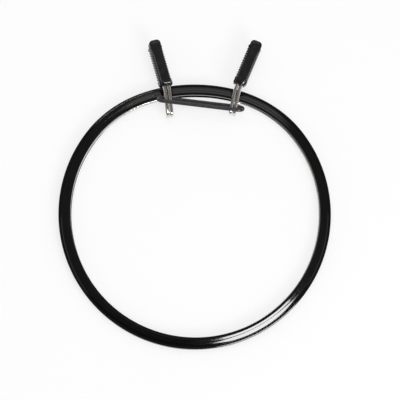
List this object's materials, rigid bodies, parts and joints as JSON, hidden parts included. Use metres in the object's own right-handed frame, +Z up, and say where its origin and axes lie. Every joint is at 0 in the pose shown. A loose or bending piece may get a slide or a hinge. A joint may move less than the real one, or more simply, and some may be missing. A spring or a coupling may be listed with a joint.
{
  "type": "spring tension embroidery hoop",
  "caption": "Spring-tension embroidery hoop: a grooved plastic ring, a sprung wire hoop that fits inside it, a grip on each doubled wire stem, and a long wire link round both stems.",
  "frame": {"origin": "on the table under the middle of the whole object's box, with the ring's centre 14.3 mm towards -Y", "axes": "+Z up from the table, through the ring's open face; +Y in the ring's plane from its centre towards the grips; +X to the right"},
  "size_m": [0.19, 0.2187, 0.0181],
  "materials": {
    "ring_plastic": "glossy black moulding",
    "spring_steel": "bright drawn spring wire",
    "grip_plastic": "satin black moulding",
    "link_coating": "satin black coating on steel wire"
  },
  "bodies": {
    "root": {"outer_ring": "ring_plastic"},
    "left_arm": {"spring_wire_left": "spring_steel", "grip_left": "grip_plastic"},
    "right_arm": {"spring_wire_right": "spring_steel", "grip_right": "grip_plastic"},
    "link_body": {"link": "link_coating"}
  },
  "joints": [
    {"name": "squeeze_left", "type": "hinge", "parent": "root", "child": "left_arm", "pos_m": [0, -0.10215, 0.0046], "axis": [0, 0, -1], "range_deg": [0, 5], "stiffness_Nm_per_rad": 4, "springref_deg": -1.72},
    {"name": "squeeze_right", "type": "hinge", "parent": "root", "child": "right_arm", "pos_m": [0, -0.10215, 0.0046], "axis": [0, 0, 1], "range_deg": [0, 5], "stiffness_Nm_per_rad": 4, "springref_deg": -1.72},
    {"name": "link_slide", "type": "slide", "parent": "root", "child": "link_body", "axis": [0, 1, 0], "range_m": [-0.0012, 0.005]}
  ],
  "couplings": [
    {"joint": "squeeze_right", "follows": "squeeze_left", "ratio": 1}
  ]
}
